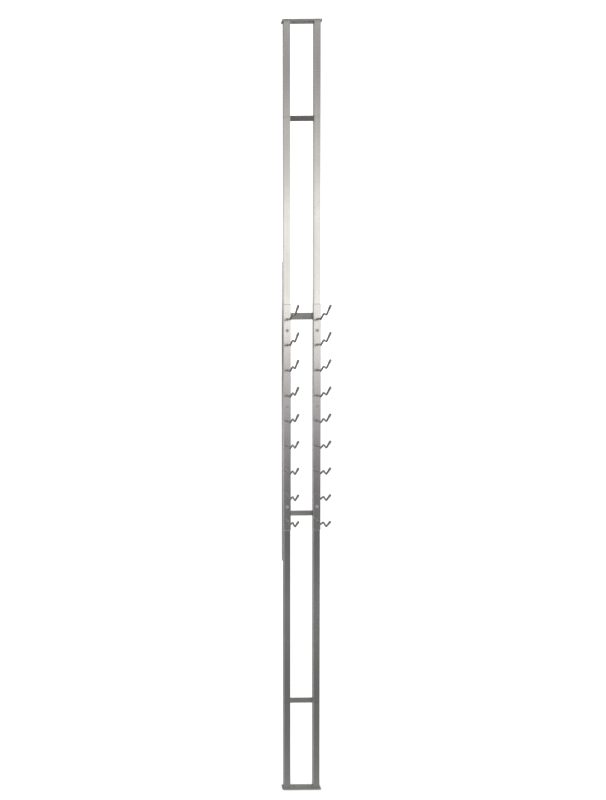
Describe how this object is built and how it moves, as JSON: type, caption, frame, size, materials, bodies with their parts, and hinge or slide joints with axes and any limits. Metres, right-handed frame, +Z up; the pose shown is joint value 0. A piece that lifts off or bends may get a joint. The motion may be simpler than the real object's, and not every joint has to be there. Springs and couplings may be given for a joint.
{
  "type": "floor-to-ceiling hook rack",
  "caption": "Tall narrow ladder frame of square steel tube between floor and ceiling plates, with channel strips of wavy rod hooks screwed over its uprights.",
  "frame": {"origin": "centre of the bottom plate's underside, on the floor", "axes": "+Z up along the uprights, -Y forwards the way the hooks reach, +X to the right seen from the front"},
  "size_m": [0.155, 0.2449, 3.06],
  "materials": {
    "upright_steel": "vertical brushed grain",
    "plate_steel": "brushed along its length, edges dressed",
    "rung_steel": "brushed along its length",
    "strip_steel": "fine vertical brushed grain",
    "rod_steel": "satin drawn rod",
    "fastener_steel": "satin, dark socket",
    "insert_steel": "zinc plated"
  },
  "bodies": {
    "root": {"bottom_plate": "plate_steel", "top_plate": "plate_steel", "left_upright": "upright_steel", "right_upright": "upright_steel", "lower_rung": "rung_steel", "lower_middle_rung": "rung_steel", "upper_middle_rung": "rung_steel", "upper_rung": "rung_steel", "back_bar": "upright_steel", "left_hook_strip": "strip_steel", "right_hook_strip": "strip_steel", "left_hook_1": "rod_steel", "left_hook_2": "rod_steel", "left_hook_3": "rod_steel", "left_hook_4": "rod_steel", "left_hook_5": "rod_steel", "left_hook_6": "rod_steel", "left_hook_7": "rod_steel", "left_hook_8": "rod_steel", "left_hook_9": "rod_steel", "right_hook_1": "rod_steel", "right_hook_2": "rod_steel", "right_hook_3": "rod_steel", "right_hook_4": "rod_steel", "right_hook_5": "rod_steel", "right_hook_6": "rod_steel", "right_hook_7": "rod_steel", "right_hook_8": "rod_steel", "right_hook_9": "rod_steel", "left_strip_screw_1": "fastener_steel", "left_strip_screw_2": "fastener_steel", "left_strip_screw_3": "fastener_steel", "right_strip_screw_1": "fastener_steel", "right_strip_screw_2": "fastener_steel", "right_strip_screw_3": "fastener_steel", "left_threaded_insert_1": "insert_steel", "left_threaded_insert_2": "insert_steel", "left_threaded_insert_3": "insert_steel", "right_threaded_insert_1": "insert_steel", "right_threaded_insert_2": "insert_steel", "right_threaded_insert_3": "insert_steel"}
  },
  "joints": []
}
